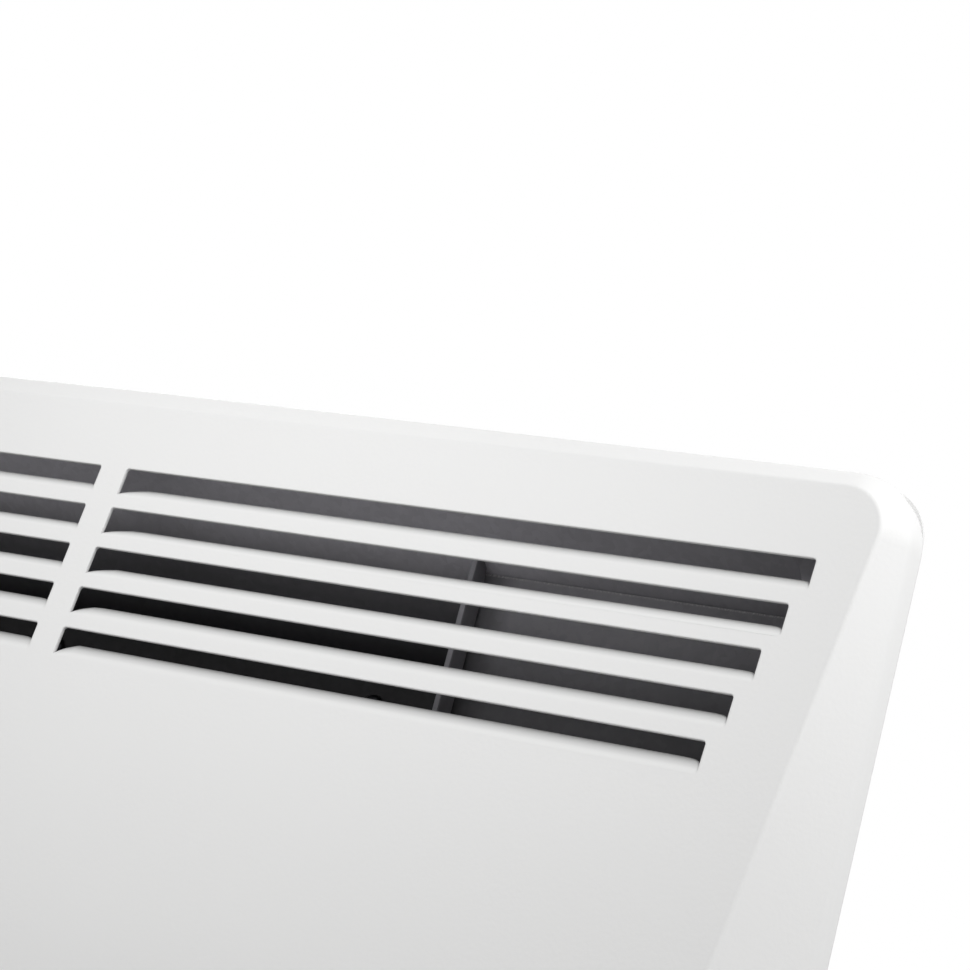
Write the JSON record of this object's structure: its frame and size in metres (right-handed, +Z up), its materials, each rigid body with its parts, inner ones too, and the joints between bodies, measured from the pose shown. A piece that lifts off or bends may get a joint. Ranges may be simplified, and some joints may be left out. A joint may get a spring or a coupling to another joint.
{
  "type": "wall panel convector heater",
  "caption": "Flat wall-mounted convector heater with a bowed front cover, louvred warm-air grille at the top, side controls and a hook-on wall bracket.",
  "frame": {"origin": "centre of the wall bracket's four fixing holes, on the wall plane", "axes": "+X to the right of someone facing the heater, +Y into the wall, +Z up; the front faces -Y"},
  "size_m": [0.465, 0.1088, 0.4],
  "materials": {
    "white_paint": "satin powder coat",
    "white_paint_rear": "satin powder coat",
    "white_screws": "painted screw heads",
    "dark_paint": "matt heat-resistant paint",
    "bracket_steel": "zinc plated sheet",
    "plated_steel": "zinc plated sheet",
    "bright_steel": "zinc plated",
    "sheath_steel": "heated sheath, slightly tinted",
    "element_aluminium": "extruded, mill finish",
    "reflector_aluminium": "bright sheet",
    "ceramic": "unglazed ceramic",
    "black_rubber": "matt",
    "black_plastic": "fine grain",
    "cutout_plastic": "moulded phenolic",
    "grey_plastic": "fine grain",
    "knob_plastic": "fine grain",
    "rocker_plastic": "gloss moulding",
    "copper_tube": "drawn copper",
    "amber_lens": "translucent lens",
    "lamp_glass": "neon lamp envelope",
    "terminal_plastic": "nylon",
    "brass_fittings": "turned brass",
    "brown_lead": "silicone insulation",
    "black_lead": "silicone insulation",
    "blue_lead": "silicone insulation",
    "green_lead": "green and yellow insulation"
  },
  "bodies": {
    "bracket": {"wall_bracket": "bracket_steel", "latch_rivets": "bright_steel"},
    "latch_left": {"bracket_latch_left": "bracket_steel"},
    "latch_right": {"bracket_latch_right": "bracket_steel"},
    "heater": {"front_cover": "white_paint", "rear_chassis": "white_paint_rear", "rear_buffers": "black_rubber", "cover_screws": "white_screws", "air_deflector": "dark_paint", "deflector_screws": "bright_steel", "partition_wall": "dark_paint", "partition_screws": "bright_steel", "control_chamber_lid": "dark_paint", "lid_screws": "bright_steel", "lid_side_screws": "bright_steel", "heat_reflector": "reflector_aluminium", "reflector_screws": "bright_steel", "heating_fins": "element_aluminium", "heating_rod_upper": "sheath_steel", "heating_rod_lower": "sheath_steel", "rod_bushes_left": "ceramic", "rod_bushes_right": "ceramic", "element_bracket_left": "plated_steel", "element_bracket_right": "plated_steel", "element_screws": "bright_steel", "rod_link": "sheath_steel", "thermal_cutout": "cutout_plastic", "cutout_bracket": "plated_steel", "cutout_screw": "bright_steel", "control_bezel": "grey_plastic", "bezel_screws": "bright_steel", "thermostat_body": "cutout_plastic", "thermostat_capillary": "copper_tube", "bulb_clips": "plated_steel", "indicator_lens": "amber_lens", "indicator_lamp": "lamp_glass", "terminal_block": "terminal_plastic", "terminal_screws": "brass_fittings", "cord_gland": "black_plastic", "gland_nut": "black_plastic", "lead_grommet": "black_rubber", "lead_clips": "terminal_plastic", "earth_stud": "brass_fittings", "switch_body_low": "black_plastic", "switch_body_high": "black_plastic", "supply_lead": "brown_lead", "low_heat_switch_lead": "black_lead", "high_heat_switch_lead": "black_lead", "low_heat_element_lead": "black_lead", "high_heat_element_lead": "black_lead", "cutout_lead": "blue_lead", "neutral_lead": "blue_lead", "earth_lead": "green_lead"},
    "knob": {"thermostat_knob": "knob_plastic", "thermostat_shaft": "bright_steel"},
    "low_heat_rocker": {"switch_rocker_low": "rocker_plastic"},
    "high_heat_rocker": {"switch_rocker_high": "rocker_plastic"}
  },
  "joints": [
    {"name": "heater_lift", "type": "slide", "parent": "bracket", "child": "heater", "axis": [0, 0, 1], "range_m": [0, 0.011]},
    {"name": "latch_left_turn", "type": "hinge", "parent": "bracket", "child": "latch_left", "pos_m": [-0.07, -0.009, -0.147], "axis": [0, 0, 1], "range_deg": [-90, 0]},
    {"name": "latch_right_turn", "type": "hinge", "parent": "bracket", "child": "latch_right", "pos_m": [0.07, -0.009, -0.147], "axis": [0, 0, -1], "range_deg": [-90, 0]},
    {"name": "thermostat_knob_turn", "type": "hinge", "parent": "heater", "child": "knob", "pos_m": [0.2085, -0.043, -0.055], "axis": [-1, 0, 0], "range_deg": [0, 270]},
    {"name": "low_heat_rocker_tilt", "type": "hinge", "parent": "heater", "child": "low_heat_rocker", "pos_m": [0.2087, -0.051, -0.105], "axis": [0, -1, 0], "range_deg": [0, 16]},
    {"name": "high_heat_rocker_tilt", "type": "hinge", "parent": "heater", "child": "high_heat_rocker", "pos_m": [0.2087, -0.035, -0.105], "axis": [0, -1, 0], "range_deg": [0, 16]}
  ]
}
